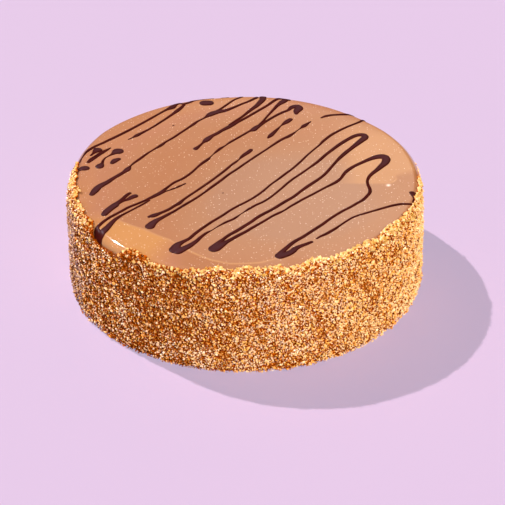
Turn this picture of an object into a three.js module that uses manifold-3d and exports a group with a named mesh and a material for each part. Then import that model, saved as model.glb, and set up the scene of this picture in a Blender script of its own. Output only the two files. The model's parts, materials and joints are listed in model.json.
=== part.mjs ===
// A coffee caramel cake: a round layer cake with crumbs pressed all over its side, under a poured
// caramel glaze with a rounded edge, and melted chocolate drizzled across the glaze.
// Millimetres, +Z up. The origin is the middle of the flat base, and the front faces -Y.
import * as THREE from 'three';
import { mergeVertices } from 'three/addons/utils/BufferGeometryUtils.js';
import Module from 'manifold-3d';

// The whole cake
const CAKE_RADIUS = 110;
const CAKE_HEIGHT = 67;
const GAP = 0.3;

// The caramel glaze: a flat top sheet, a rounded edge and a short skirt down the side
const GLAZE_RADIUS = 106;
const GLAZE_EDGE = 5;
const GLAZE_SHEET = 4;
const GLAZE_SKIRT = 2.5;
const SKIRT_BOTTOM = 59;
const GLAZE_SIDES = 72;
const EDGE_STEPS = 3;
const FLAT_RADIUS = GLAZE_RADIUS - GLAZE_EDGE;

// The crumb coat on the side: its mean radius low down and at the rim, and its relief
const COAT_RADIUS = 109;
const COAT_RIM_RADIUS = 108.2;
const COAT_LEAN_START = 50;
const COAT_SIDES = 184;
const COAT_ROWS = 15;
const COAT_SEED = 11;
const CRUMB_RELIEF = 1.8;
const CRUMB_SHIFT = 0.3;
const WIDEST_ROW = 8;

// The upper edge of the crumb coat: full height in front, lower behind and at one bare spot
const CRUMB_LINE = 66.4;
const BACK_LINE_DROP = 4.2;
const BACK_MIDDLE = 75;
const BACK_HALF_WIDTH = 60;
const BARE_SPOT_DROP = 4.4;
const BARE_SPOT_MIDDLE = 217.5;
const BARE_SPOT_HALF_WIDTH = 8;

// Larger lumps of crumb that stand out of the coat
const LUMPS = 44;
const LUMP_SIZES = [1.6, 2.4];
const LUMP_SEED = 23;
const GOLDEN_TURN = 137.508;

// The band of crumbs that climbs over the glaze's edge, from one side round the front to the other
const BAND_ARCS = [[176, 210], [225, 352]];
const BAND_SEED = 31;
const BAND_STEP = 3.6;
const BAND_INNER = 100;
const BAND_CREST = 68.2;
const BAND_RELIEF = 1.1;

// The chocolate drizzle. Each route is a run of [x, y, width], seen from above, where distance from
// the middle is measured along the glaze, so past the flat top it goes over the rounded edge.
const DRIZZLE_STEP = 24;
const DRIZZLE_SINK = 0.6;
const DRIZZLE_RISE = 0.32;
const DRIZZLE_RISE_LIMITS = [0.5, 1.1];
const DRIZZLE_CREST = 0.6;
const DRIZZLE_TIP = 0.45;
const DRIZZLE_ROUTES = [
  [[-102.2, 25, 2.4], [-99, 32, 2.2], [-88.5, 45.5, 1.7], [-60, 74.8, 1.7], [-46, 90, 3.6],
    [-35, 96, 2], [-20, 101.5, 1.6]],
  [[-70.5, 51.5, 2], [-60, 62, 2.2], [-50, 74.5, 2.2], [-39, 92, 2.2]],
  [[-26, 94.3, 6], [-22, 94.3, 6]],
  [[-93, -15, 3.8], [-90, -8, 5], [-81, 3, 3.2], [-72.3, 13.7, 4], [-69, 20, 1.8], [-52, 42, 2.4],
    [-30, 70.5, 2], [-20.5, 80.5, 4.8], [-7, 88, 2.6], [8.5, 100.5, 2.4]],
  [[-15.5, 86, 2], [-9, 94.5, 1.8], [-2, 102, 1.8]],
  [[12.5, 101, 5], [10.5, 94, 4], [-1, 76.5, 2.2], [-8, 67.5, 2.6]],
  [[29.5, 97.5, 2], [22.5, 99, 2.4], [10.5, 85, 2.3], [-10, 63, 3.4], [-24, 47, 4.2],
    [-27.5, 41, 2.1], [-31, 36.5, 3.2]],
  [[26, 95, 4.2], [17.5, 81.5, 2.2], [9.5, 65.5, 2.4]],
  [[33, 78, 3], [36, 86, 6], [30, 86.5, 4], [15, 71, 2.3], [7, 61.5, 3.8], [-15, 36.5, 2.4],
    [-31.5, 10.5, 2], [-49, -10.7, 2.6], [-70, -31, 2.3], [-87.3, -50, 2.6], [-89.3, -56, 3.6]],
  [[-85.5, -57.5, 7], [-88, -61.6, 3.5]],
  [[-58, -23, 1.8], [-74.5, -40, 2.2], [-85, -57, 5]],
  [[-51, -14.5, 2], [-36.5, -4.3, 1.6]],
  [[-84.5, -38, 4.6], [-78.5, -28, 5], [-70, -14.5, 2.4]],
  [[-77.5, -27.5, 2], [-67, -18, 4]],
  [[-57, -41.5, 3.4], [-46, -33.5, 2.5], [-17.5, 2.5, 2], [-3, 23.5, 2], [4, 34, 3.2]],
  [[42.5, 68.5, 1.6], [38, 63, 3.2], [28, 50.5, 2.6], [-5, 11, 2], [-42.5, -35.5, 2.3],
    [-54, -48, 4.8], [-57, -53.5, 7]],
  [[16, 50.5, 3], [22.5, 62, 1.8], [29.5, 71.5, 3.6]],
  [[49.5, 73, 1.6], [60, 77, 2.4], [70, 76, 2]],
  [[76, 70, 2.4], [52, 47.5, 2.2], [29.5, 11, 1.9], [-9, -35.5, 2], [-34, -67, 2.8],
    [-42, -78.5, 8.5]],
  [[-40, -79.5, 6], [-29, -68.5, 3], [-12, -49, 2], [6, -30.5, 2], [39.5, 11.5, 2], [59, 39.5, 3.1],
    [72, 50.5, 4], [75, 46, 4.8], [67, 35, 3.3], [46.5, 0, 2.4], [11, -40, 2.6], [-13, -67, 3.2],
    [-19, -77, 7.6]],
  [[-17, -76, 5], [8, -51, 2.3], [53, -8, 2.5], [62, 6, 2.6], [78, 21.5, 3.8], [86.5, 24, 6],
    [86.5, 16, 5.4], [75.5, -2, 2.3], [75.5, -18, 2.4], [50, -47.5, 2.3], [28, -71, 2.8],
    [19.5, -85.5, 6.8]],
  [[20, -86.5, 6], [29, -79, 4], [39.3, -71, 2.2]],
  [[41.8, -68.2, 1.8], [60, -50, 1.8], [82, -36.5, 2.2], [100.5, -31.5, 2]],
  [[99.8, -18, 2.6], [102.5, -21.8, 3.4], [101, -31.5, 1.8]],
  [[-91.8, 36, 5.8], [-94.5, 29, 3.8], [-99, 21, 3]],
  [[-84.5, 39, 1.8], [-89.5, 33, 3.4], [-96, 23.5, 3.4]],
  [[-98, 15.3, 5.6], [-103.4, 15, 2.6]],
  [[-78.5, 35.4, 7.2], [-84, 30.5, 2.4], [-89.8, 17.5, 5.6]],
  [[-82, 21.5, 3.8], [-78, 26, 3.6]],
];

const wasm = await Module();
wasm.setup();

// Repeatable random numbers from 0 to 1
function seededRandom(seed) {
  const multiplier = 16807;
  const modulus = 2147483647;
  let state = seed;
  return () => {
    state = (state * multiplier) % modulus;
    return state / modulus;
  };
}

// A closed three.js geometry as a solid that can be joined and cut
function solidOf(geometry) {
  const shape = geometry.clone();
  shape.deleteAttribute('normal');
  shape.deleteAttribute('uv');
  const welded = mergeVertices(shape);
  const corners = welded.index.array;
  const faces = [];
  for (let i = 0; i < corners.length; i += 3) {
    const [a, b, c] = corners.slice(i, i + 3);
    if (a !== b && b !== c && c !== a) faces.push(a, b, c);
  }
  return new wasm.Manifold(new wasm.Mesh({
    numProp: 3,
    vertProperties: new Float32Array(welded.attributes.position.array),
    triVerts: new Uint32Array(faces),
  }));
}

// A solid turned back into a three.js geometry
function geometryOf(solid) {
  const mesh = solid.getMesh();
  const geometry = new THREE.BufferGeometry();
  geometry.setAttribute('position', new THREE.BufferAttribute(mesh.vertProperties, 3));
  geometry.setIndex(new THREE.BufferAttribute(mesh.triVerts, 1));
  geometry.computeVertexNormals();
  return geometry;
}

// A profile of [radius, height] pairs turned about the Z axis
function turned(profile) {
  const points = profile.map(([radius, height]) => new THREE.Vector2(radius, height));
  return new THREE.LatheGeometry(points, GLAZE_SIDES).rotateX(Math.PI / 2);
}

// A skin over a run of rings, closed at both ends. Every ring has the same number of points, in
// anticlockwise order seen from the last ring, and the diagonals alternate from row to row.
function skinned(rings) {
  const size = rings[0].length;
  const points = rings.flat();
  const faces = [];
  for (let row = 0; row < rings.length - 1; row++) {
    for (let i = 0; i < size; i++) {
      const next = (i + 1) % size;
      const [a, b] = [row * size + i, row * size + next];
      const [c, d] = [b + size, a + size];
      if (row % 2 === 0) faces.push(a, b, d, b, c, d);
      else faces.push(a, b, c, a, c, d);
    }
  }
  const lastStart = points.length - size;
  const firstMiddle = points.length;
  points.push(middleOf(rings[0]), middleOf(rings.at(-1)));
  for (let i = 0; i < size; i++) {
    const next = (i + 1) % size;
    faces.push(firstMiddle, next, i, firstMiddle + 1, lastStart + i, lastStart + next);
  }
  const geometry = new THREE.BufferGeometry().setFromPoints(points);
  geometry.setIndex(faces);
  return geometry;
}

function middleOf(ring) {
  const middle = new THREE.Vector3();
  for (const point of ring) middle.add(point);
  return middle.divideScalar(ring.length);
}

// A point at a radius, an angle in degrees and a height
function around(radius, degrees, height) {
  const angle = THREE.MathUtils.degToRad(degrees);
  return new THREE.Vector3(radius * Math.cos(angle), radius * Math.sin(angle), height);
}

// How far inside a stretch of the rim an angle is: 1 at its middle, fading to 0 at its ends
function withinStretch(degrees, middle, halfWidth) {
  const turn = THREE.MathUtils.euclideanModulo(degrees - middle + 180, 360) - 180;
  return 1 - THREE.MathUtils.smoothstep(Math.abs(turn), halfWidth * 0.6, halfWidth);
}

function crumbLine(degrees) {
  const backDrop = BACK_LINE_DROP * withinStretch(degrees, BACK_MIDDLE, BACK_HALF_WIDTH);
  const bareDrop = BARE_SPOT_DROP * withinStretch(degrees, BARE_SPOT_MIDDLE, BARE_SPOT_HALF_WIDTH);
  return CRUMB_LINE - backDrop - bareDrop;
}

function coatRadius(height) {
  const lean = THREE.MathUtils.smoothstep(height, COAT_LEAN_START, CAKE_HEIGHT);
  return THREE.MathUtils.lerp(COAT_RADIUS, COAT_RIM_RADIUS, lean);
}

// The cake with its crumb coat, before room is made for the glaze. Odd rows stand half a step
// round, every point is moved in or out at random, and four crumbs reach the full radius.
function crumbCoatedBody() {
  const random = seededRandom(COAT_SEED);
  const spread = () => 2 * random() - 1;
  const stepTurn = 360 / COAT_SIDES;
  const rings = [];
  for (let row = 0; row <= COAT_ROWS; row++) {
    const ring = [];
    for (let i = 0; i < COAT_SIDES; i++) {
      const turn = (i + (row % 2) / 2 + CRUMB_SHIFT * spread()) * stepTurn;
      const share = row / COAT_ROWS;
      const bump = CRUMB_RELIEF * (random() - 0.5);
      const rise = row === 0 ? 0 : CRUMB_SHIFT * spread() * CAKE_HEIGHT / COAT_ROWS;
      const height = crumbLine(turn) * share + rise;
      const radius = Math.min(coatRadius(height) + bump, CAKE_RADIUS);
      const isWidest = row === WIDEST_ROW && i % (COAT_SIDES / 4) === 0;
      ring.push(isWidest ? around(CAKE_RADIUS, i * stepTurn, height) : around(radius, turn, height));
    }
    rings.push(ring);
  }
  rings.push(rings.at(-1).map((_, i) => {
    const turn = (i + 0.5) * stepTurn;
    return around(GLAZE_RADIUS, turn, crumbLine(turn) + CRUMB_RELIEF * (random() - 0.5));
  }));
  return solidOf(skinned(rings));
}

// Everything above and around the shape that is left for the glaze, with a gap all round it
function glazeRoom() {
  const outside = GLAZE_RADIUS + GAP;
  const inside = GLAZE_RADIUS - GLAZE_SKIRT - GAP;
  const floor = SKIRT_BOTTOM - GAP;
  const neckTop = CAKE_HEIGHT - GLAZE_SHEET - GAP;
  const above = CAKE_HEIGHT * 1.5;
  return solidOf(turned([
    [0, neckTop], [inside, neckTop], [inside, floor], [outside, floor], [outside, above], [0, above],
  ]));
}

// Lumps spread evenly over the side by the golden angle, half sunk in the coat
function crumbLumps() {
  const random = seededRandom(LUMP_SEED);
  const lumps = [];
  for (let i = 0; i < LUMPS; i++) {
    const size = THREE.MathUtils.lerp(...LUMP_SIZES, random());
    const turn = i * GOLDEN_TURN;
    const height = 3 * size + (crumbLine(turn) - 5 * size) * (i + 0.5) / LUMPS;
    const radius = Math.min(coatRadius(height) - 0.3 * size, CAKE_RADIUS - size);
    const shape = new THREE.IcosahedronGeometry(size, 0);
    shape.rotateX(random() * Math.PI).rotateZ(random() * Math.PI);
    shape.translate(...around(radius, turn, height));
    lumps.push(solidOf(shape));
  }
  return lumps;
}

// Where a distance along the glaze from the middle lies: on the flat top, round the edge or down
// the side. Gives the point and the direction straight out of the glaze.
function onGlaze(x, y) {
  const distance = Math.hypot(x, y);
  const outward = new THREE.Vector3(x, y, 0).divideScalar(distance);
  const bend = THREE.MathUtils.clamp((distance - FLAT_RADIUS) / GLAZE_EDGE, 0, Math.PI / 2);
  const below = Math.max(0, distance - FLAT_RADIUS - GLAZE_EDGE * Math.PI / 2);
  const radius = Math.min(distance, FLAT_RADIUS) + GLAZE_EDGE * Math.sin(bend);
  const height = CAKE_HEIGHT - GLAZE_EDGE * (1 - Math.cos(bend)) - below;
  const point = outward.clone().multiplyScalar(radius).setZ(height);
  const normal = outward.multiplyScalar(Math.sin(bend)).setZ(Math.cos(bend));
  return { point, normal };
}

// Stations on a smooth curve through a route: one at each given point, and more between points
// that lie far apart. A station's x and y are its place, and its z is the width there.
function stationsAlong(route) {
  const curve = new THREE.CatmullRomCurve3(route.map((point) => new THREE.Vector3(...point)));
  const spans = route.length - 1;
  const stations = [];
  for (let span = 0; span < spans; span++) {
    const [[x, y], [nextX, nextY]] = [route[span], route[span + 1]];
    const parts = Math.ceil(Math.hypot(nextX - x, nextY - y) / DRIZZLE_STEP);
    for (let part = 0; part < parts; part++) {
      stations.push(curve.getPoint((span + part / parts) / spans));
    }
  }
  stations.push(curve.getPoint(1));
  return stations;
}

// A narrower station just past the end of a run, which rounds the end off
function tipBeyond(end, before) {
  const tip = end.clone().sub(before).setZ(0).setLength(DRIZZLE_TIP * end.z).add(end);
  return tip.setZ(DRIZZLE_TIP * end.z);
}

// One run of chocolate: a low ridge with sloping sides and narrowed ends, half sunk in the glaze
function drizzleRun(route) {
  const stations = stationsAlong(route);
  stations.unshift(tipBeyond(stations[0], stations[1]));
  stations.push(tipBeyond(stations.at(-1), stations.at(-2)));
  const rings = stations.map((station, i) => {
    const { point, normal } = onGlaze(station.x, station.y);
    const ahead = stations[Math.min(i + 1, stations.length - 1)];
    const behind = stations[Math.max(i - 1, 0)];
    const forward = onGlaze(ahead.x, ahead.y).point.sub(onGlaze(behind.x, behind.y).point);
    const side = normal.clone().cross(forward).normalize();
    const half = station.z / 2;
    const rise = THREE.MathUtils.clamp(DRIZZLE_RISE * station.z, ...DRIZZLE_RISE_LIMITS);
    const corner = (across, up) => point.clone()
      .addScaledVector(side, across)
      .addScaledVector(normal, up);
    const crest = DRIZZLE_CREST * half;
    return [
      corner(half, -DRIZZLE_SINK), corner(crest, rise),
      corner(-crest, rise), corner(-half, -DRIZZLE_SINK),
    ];
  });
  return solidOf(skinned(rings));
}

// A stretch of the crumb band: a bumpy ridge on the rounded edge, kept inside the glaze's radius
function crumbBand([start, end], seed) {
  const random = seededRandom(seed);
  const bump = () => BAND_RELIEF * (2 * random() - 1);
  const steps = Math.round((end - start) / BAND_STEP);
  const low = CAKE_HEIGHT - GLAZE_SHEET + GAP;
  const rings = [];
  for (let i = 0; i <= steps; i++) {
    const turn = THREE.MathUtils.lerp(start, end, i / steps);
    rings.push([
      around(BAND_INNER + bump(), turn, CAKE_HEIGHT - 0.2),
      around(BAND_INNER + 2.2 + bump() / 2, turn, BAND_CREST + bump() / 2),
      around(GLAZE_RADIUS - 0.6, turn, BAND_CREST - 0.9 + bump() / 2),
      around(GLAZE_RADIUS - 0.4, turn, low),
      around(BAND_INNER + 2.5, turn, low),
    ]);
  }
  return solidOf(skinned(rings));
}

function caramelGlaze() {
  const profile = [
    [0, CAKE_HEIGHT - GLAZE_SHEET],
    [GLAZE_RADIUS - GLAZE_SKIRT, CAKE_HEIGHT - GLAZE_SHEET],
    [GLAZE_RADIUS - GLAZE_SKIRT, SKIRT_BOTTOM],
    [GLAZE_RADIUS, SKIRT_BOTTOM],
  ];
  for (let i = 0; i <= EDGE_STEPS; i++) {
    const bend = (i / EDGE_STEPS) * Math.PI / 2;
    profile.push([
      FLAT_RADIUS + GLAZE_EDGE * Math.cos(bend),
      CAKE_HEIGHT - GLAZE_EDGE * (1 - Math.sin(bend)),
    ]);
  }
  profile.push([0, CAKE_HEIGHT]);
  const pieces = [
    ...DRIZZLE_ROUTES.map(drizzleRun),
    ...BAND_ARCS.map((arc, i) => crumbBand(arc, BAND_SEED + i)),
  ];
  return pieces.reduce((whole, piece) => whole.add(piece), solidOf(turned(profile)));
}

const crumbMaterial = new THREE.MeshStandardMaterial({ color: 0xd19058, roughness: 0.9 });
const glazeMaterial = new THREE.MeshStandardMaterial({ color: 0xd29a74, roughness: 0.15 });

const coated = crumbLumps().reduce((whole, lump) => whole.add(lump), crumbCoatedBody());
const body = new THREE.Mesh(geometryOf(coated.subtract(glazeRoom())), crumbMaterial);
body.name = 'cake';

const glaze = new THREE.Mesh(geometryOf(caramelGlaze()), glazeMaterial);
glaze.name = 'caramel_glaze';

const cake = new THREE.Group();
cake.add(body, glaze);

export default cake;
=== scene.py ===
import json
import math

import bpy
import numpy as np
from mathutils import Matrix, Vector

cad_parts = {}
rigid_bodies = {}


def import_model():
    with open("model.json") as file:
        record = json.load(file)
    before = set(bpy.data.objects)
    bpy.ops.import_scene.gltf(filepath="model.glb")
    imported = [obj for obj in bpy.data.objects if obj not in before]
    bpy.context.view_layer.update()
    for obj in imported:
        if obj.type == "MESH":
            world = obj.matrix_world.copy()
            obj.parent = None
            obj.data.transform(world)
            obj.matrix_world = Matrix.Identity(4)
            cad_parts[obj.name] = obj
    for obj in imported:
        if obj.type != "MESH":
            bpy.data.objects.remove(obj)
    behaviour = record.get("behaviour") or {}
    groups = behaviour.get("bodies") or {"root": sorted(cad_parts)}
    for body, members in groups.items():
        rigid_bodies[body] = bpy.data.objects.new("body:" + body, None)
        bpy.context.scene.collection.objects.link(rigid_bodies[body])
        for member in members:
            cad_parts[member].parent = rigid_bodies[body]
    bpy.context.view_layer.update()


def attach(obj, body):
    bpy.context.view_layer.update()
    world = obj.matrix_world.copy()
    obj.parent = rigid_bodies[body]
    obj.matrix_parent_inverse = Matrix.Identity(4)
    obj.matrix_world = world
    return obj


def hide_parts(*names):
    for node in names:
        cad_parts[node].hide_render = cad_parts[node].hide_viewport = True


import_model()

# The viewing place. A long lens stands straight in front of the cake and looks down on it from
# about 34 degrees, turned a little on its own axis.
LENS_PLACE = Vector((0.0, -1.23298, 0.82476))
LENS_AIM = Vector((0.004018, 0.0, 0.012912))
LENS_ROLL = -0.0139
LENS_LENGTH = 168.27

lens = bpy.data.cameras.new("cake_camera")
lens.lens = LENS_LENGTH
lens.sensor_width = 36.0
camera = bpy.data.objects.new("cake_camera", lens)
bpy.context.scene.collection.objects.link(camera)
ahead = (LENS_AIM - LENS_PLACE).normalized()
level = ahead.cross(Vector((0.0, 0.0, 1.0))).normalized()
upright = level.cross(ahead)
across = level * math.cos(LENS_ROLL) + upright * math.sin(LENS_ROLL)
above = upright * math.cos(LENS_ROLL) - level * math.sin(LENS_ROLL)
camera.matrix_world = Matrix((
    (across.x, above.x, -ahead.x, LENS_PLACE.x),
    (across.y, above.y, -ahead.y, LENS_PLACE.y),
    (across.z, above.z, -ahead.z, LENS_PLACE.z),
    (0.0, 0.0, 0.0, 1.0),
))
bpy.context.scene.camera = camera

# The caramel glaze. It is poured warm over the top of the cake and runs over the rounded edge and
# a little way down the side. It sets smooth and very glossy, with low waves, a faint crease where
# it starts to fall away at the front left, and tiny air bubbles. Painted highlights and reflections
# lie in its colour: pale glints on the bubbles, a patch and an arc at the right, the rib of the
# crease, and a more orange strip beyond it.
MM = 0.001
GLAZE_HEIGHT = 67.0
FLAT_RADIUS = 101.0
SKIRT_LENGTH = 3.0
SKIRT_INSIDE = 103.6
SHEET_UNDERSIDE = 63.0
SHEET_INSIDE = 60.0
GLAZE_SIDES = 480
GLAZE_GLOSS = 0.07
WAVES_END = 12.0

# The edge: how steeply the glaze slopes, in degrees, at some distances past its flat part. A
# narrow shoulder comes first, then a longer slope, and then the side.
EDGE_SLOPES = ((0.0, 0.0), (0.8, 18.0), (1.6, 32.0), (5.8, 60.0), (7.8, 90.0))
EDGE_LENGTH = EDGE_SLOPES[-1][0]
EDGE_STEPS = 79

# The crease: how far out it lies at some turns, in degrees, how the glaze falls beyond it, and the
# low bead along it
CREASE = ((-180, 97.0), (-158, 95.0), (-150, 88.5), (-137, 82.0), (-124, 81.0), (-114, 85.5),
          (-103, 91.6), (-96, 94.0), (-85, 93.2), (-76, 89.0), (-66, 97.0), (180, 97.0))
CREASE_FALL = 0.034
CREASE_SOFTNESS = 1.0
BEAD_HEIGHT = 0.09
BEAD_WIDTH = 1.1
BEAD_TURN = -118.0
BEAD_SPAN = 38.0

# The strip beyond the crease, with a tone painted more orange where the glaze mirrors less, and
# the painted highlight along the rib on it. A start or an end is a turn and the degrees over which
# it fades in, or out where they are below 0.
STRIP_START = (-160.0, 14.0)
STRIP_END = (-110.0, -18.0)
STRIP_BLUR = 1.2
STRIP_PAINTED_TONE = 0.80
RIB_END = (-72.0, -12.0)
RIB_WIDTH = 0.8
RIB_HIGHLIGHT = 0.8

# How far the glaze's edge stands out of a true circle at some turns, at the right and the back left
BULGE = ((-45, 0.0), (-30, 1.4), (-15, 2.4), (0, 2.6), (20, 2.6), (26, 2.3), (33, 1.8), (40, 0.8),
         (52, 0.0), (98, 0.0), (108, 1.1), (119, 2.3), (130, 3.2), (140, 4.2), (146, 4.7), (155, 4.1),
         (161, 3.5), (165, 2.5), (168, 1.1), (173, 0.0))
BULGE_START = 94.0
BULGE_LENGTH = 8.0

# Where the glaze pooled, right of the middle. Inside the radius it lies thickest, and from there
# it thins out towards the edge.
POOL = (28.0, -22.0)
POOL_RADIUS = 20.0
POOL_FADE = 105.0
POOL_THINNING = 0.62

# The patch of painted reflection at the right: its front limit in y at some places in x, how
# soft that limit is at some places in x, and where its left and back sides fade, like a start above
PATCH_LIMITS = ((56.0, -8.0), (86.0, -9.0), (90.0, -7.0), (93.0, -1.0), (105.0, 3.0))
PATCH_BLURS = ((86.0, 2.0), (116.0, 12.0))
PATCH_LEFT = (56.0, 14.0)
PATCH_BACK = (72.0, -24.0)
PATCH_REFLECTION = 0.6

# A burst bubble near the right edge, with a low wave, a painted pale glint in it, and a painted
# highlight arc behind it on the right
CRATER = (87.4, -9.9)
CRATER_WIDTH = 1.1
CRATER_DEPTH = 0.15
CRATER_GLINT = 0.8
WAVE_RADIUS = 11.0
WAVE_WIDTH = 1.0
WAVE_TURN = 60.0
WAVE_SPAN = 45.0
WAVE_HEIGHT = 0.05
ARC_PLACE = (87.2, -1.6)
ARC_RADIUS = 5.4
ARC_WIDTH = 0.55
ARC_TURN = -40.0
ARC_SPAN = 42.0
ARC_HIGHLIGHT = 1.1

# From the thick, greyish middle to the more orange strip at the front left, a tone painted there
# in place of the weaker reflection
GLAZE_TONES = (
    (0.22, (0.252, 0.119, 0.064)),
    (0.295, (0.260, 0.114, 0.054)),
    (0.44, (0.265, 0.107, 0.047)),
    (0.55, (0.272, 0.114, 0.052)),
    (0.65, (0.284, 0.117, 0.059)),
    (0.88, (0.357, 0.158, 0.053)),
    (1.00, (0.430, 0.200, 0.085)),
)
# the tone of the painted highlights and reflections on the glaze
GLAZE_HIGHLIGHT_TONE = (0.365, 0.174, 0.072)

# The tone drifts a little over the glaze. The air bubbles are a fraction of a millimetre across, and
# painted as pale glints.
DRIFT_SCALE = 14.0
DRIFT_SHARE = 0.16
BUBBLE_SCALE = 640.0
BUBBLE_EDGE = (0.19, 0.11)
BUBBLE_CHOICE = (0.30, 1.15)
BUBBLE_GLINT = (0.90, 0.70, 0.55)


def read_off(table, place):
    """The value at a place, in between the (place, value) pairs of a table."""
    return np.interp(place, *np.transpose(table))


def in_degrees(turn):
    """A turn in degrees, from -180 to 180."""
    return (np.degrees(turn) + 180) % 360 - 180


def at_reach(reach, turn, height):
    """Points at a reach from the middle, a turn and a height."""
    return np.stack(np.broadcast_arrays(reach * np.cos(turn), reach * np.sin(turn), height), axis=-1)


def bell(distance, width):
    """A smooth hump of height 1 that fades over the width."""
    return np.exp(-((distance / width) ** 2))


def fade_in(value, start, width):
    """From 0 at the start to 1 a width further on. A width below 0 fades in the other way."""
    return np.clip((value - start) / width, 0.0, 1.0)


def arc_about(x, y, place, radius, width, turn, span):
    """A soft arc about a place: 1 in its middle, fading across it and towards its ends."""
    from_place = np.hypot(x - place[0], y - place[1])
    towards = np.degrees(np.arctan2(y - place[1], x - place[0]))
    return bell(from_place - radius, width) * bell(towards - turn, span)


def in_crater(x, y):
    """1 in the middle of the burst bubble, fading over its width."""
    return bell(np.hypot(x - CRATER[0], y - CRATER[1]), CRATER_WIDTH)


def past_crease(along, turn):
    """How far beyond the crease a place on the glaze lies."""
    return along - read_off(CREASE, in_degrees(turn))


def glaze_relief(x, y, along, turn):
    """How much higher or lower than a flat sheet the glaze lies."""
    # three sets of low waves cross the top
    waves = 0.16 * np.sin(x / 21 + 1.3) * np.cos(y / 26 - 0.4)
    waves += 0.10 * np.sin((x + 1.7 * y) / 33 + 0.8)
    waves += 0.02 * np.sin((x - 1.3 * y) / 8 + 2.0) * np.sin((x + y) / 11)
    waves *= fade_in(along, FLAT_RADIUS, -WAVES_END)
    beyond = np.maximum(past_crease(np.minimum(along, FLAT_RADIUS), turn), 0.0)
    fall = CREASE_FALL * (beyond - CREASE_SOFTNESS * (1 - np.exp(-beyond / CREASE_SOFTNESS)))
    bead = BEAD_HEIGHT * bell(past_crease(along, turn), BEAD_WIDTH)
    bead = bead * bell(in_degrees(turn) - BEAD_TURN, BEAD_SPAN)
    crater = CRATER_DEPTH * in_crater(x, y)
    wave = WAVE_HEIGHT * arc_about(x, y, CRATER, WAVE_RADIUS, WAVE_WIDTH, WAVE_TURN, WAVE_SPAN)
    return waves - fall + bead - crater + wave


edge_path = np.linspace(0.0, EDGE_LENGTH, EDGE_STEPS)
edge_bend = np.radians(read_off(EDGE_SLOPES, edge_path))
edge_step = edge_path[1] - edge_path[0]
edge_middle = (edge_bend[1:] + edge_bend[:-1]) / 2
edge_reach = np.concatenate([[0.0], np.cumsum(np.cos(edge_middle)) * edge_step])
edge_drop = np.concatenate([[0.0], np.cumsum(np.sin(edge_middle)) * edge_step])


def glaze_skin(along, turn, lift):
    """A point on the glaze: along is measured from the middle over the edge and down the side."""
    past = np.maximum(along - FLAT_RADIUS, 0.0)
    bend = np.interp(past, edge_path, edge_bend)
    down = np.maximum(past - EDGE_LENGTH, 0.0)
    flat = np.minimum(along, FLAT_RADIUS)
    bulge = read_off(BULGE, in_degrees(turn)) * fade_in(along, BULGE_START, BULGE_LENGTH)
    reach = flat + np.interp(past, edge_path, edge_reach) + lift * np.sin(bend) + bulge
    relief = glaze_relief(flat * np.cos(turn), flat * np.sin(turn), along, turn)
    height = GLAZE_HEIGHT + relief - np.interp(past, edge_path, edge_drop) - down
    return at_reach(reach, turn, height + lift * np.cos(bend))


def glaze_thinness_and_strip(x, y, along, turn):
    """How thin the glaze lies from 0 where it pooled, and 0.8 for the strip's painted tone beyond the
    crease.
    """
    thin = POOL_THINNING * fade_in(np.hypot(x - POOL[0], y - POOL[1]), POOL_RADIUS, POOL_FADE)
    strip = fade_in(past_crease(along, turn), -STRIP_BLUR / 2, STRIP_BLUR)
    for end in (STRIP_START, STRIP_END):
        strip = strip * fade_in(in_degrees(turn), *end)
    return thin + (STRIP_PAINTED_TONE - thin) * strip


def glaze_painted_highlights(x, y, along, turn):
    """How strongly the painted highlights show: the painted reflection of the patch at the right, the arc
    beside it and the rib of the crease.
    """
    rib = RIB_HIGHLIGHT * bell(past_crease(along, turn), RIB_WIDTH)
    for end in (STRIP_START, RIB_END):
        rib = rib * fade_in(in_degrees(turn), *end)
    patch = fade_in(y, read_off(PATCH_LIMITS, x), read_off(PATCH_BLURS, x))
    patch = PATCH_REFLECTION * patch * fade_in(x, *PATCH_LEFT) * fade_in(y, *PATCH_BACK)
    arc = ARC_HIGHLIGHT * arc_about(x, y, ARC_PLACE, ARC_RADIUS, ARC_WIDTH, ARC_TURN, ARC_SPAN)
    return np.maximum(patch, rib) + arc


def closed_rings(rings):
    """Points and faces of a closed skin over rings of equal count, with a point at each end."""
    count = len(rings[0])
    points = np.concatenate([rings[0].mean(axis=0)[None], *rings, rings[-1].mean(axis=0)[None]])
    here = np.arange(1, count + 1)
    after = np.roll(here, -1)
    faces = [(0, a, b) for a, b in zip(here.tolist(), after.tolist())]
    for _ in rings[1:]:
        faces += np.stack([here, here + count, after + count, after], axis=1).tolist()
        here, after = here + count, after + count
    last = len(points) - 1
    return points, faces + [(last, b, a) for a, b in zip(here.tolist(), after.tolist())]


def make_piece(name, points, faces, material, smooth=True):
    """A piece made at the origin, from points in millimetres, that rides on the cake."""
    mesh = bpy.data.meshes.new(name)
    mesh.from_pydata((points * MM).tolist(), [], faces)
    mesh.polygons.foreach_set("use_smooth", np.full(len(mesh.polygons), smooth))
    mesh.materials.append(material)
    piece = bpy.data.objects.new(name, mesh)
    bpy.context.scene.collection.objects.link(piece)
    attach(piece, "root")
    return piece


def carry(piece, name, values):
    """Lets each point of a piece carry a value that its material reads."""
    carried = piece.data.attributes.new(name, "FLOAT", "POINT")
    carried.data.foreach_set("value", values.astype(np.float32))


def new_material(name):
    """A material with its node tree and its Principled shader."""
    material = bpy.data.materials.new(name)
    material.use_nodes = True
    return material, material.node_tree, material.node_tree.nodes["Principled BSDF"]


def feed(tree, node, given):
    """Fills sockets of a node, each with another node's output, a colour or a number."""
    for name, value in given.items():
        if isinstance(value, bpy.types.NodeSocket):
            tree.links.new(value, node.inputs[name])
        else:
            node.inputs[name].default_value = (*value, 1.0) if isinstance(value, tuple) else value


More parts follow.
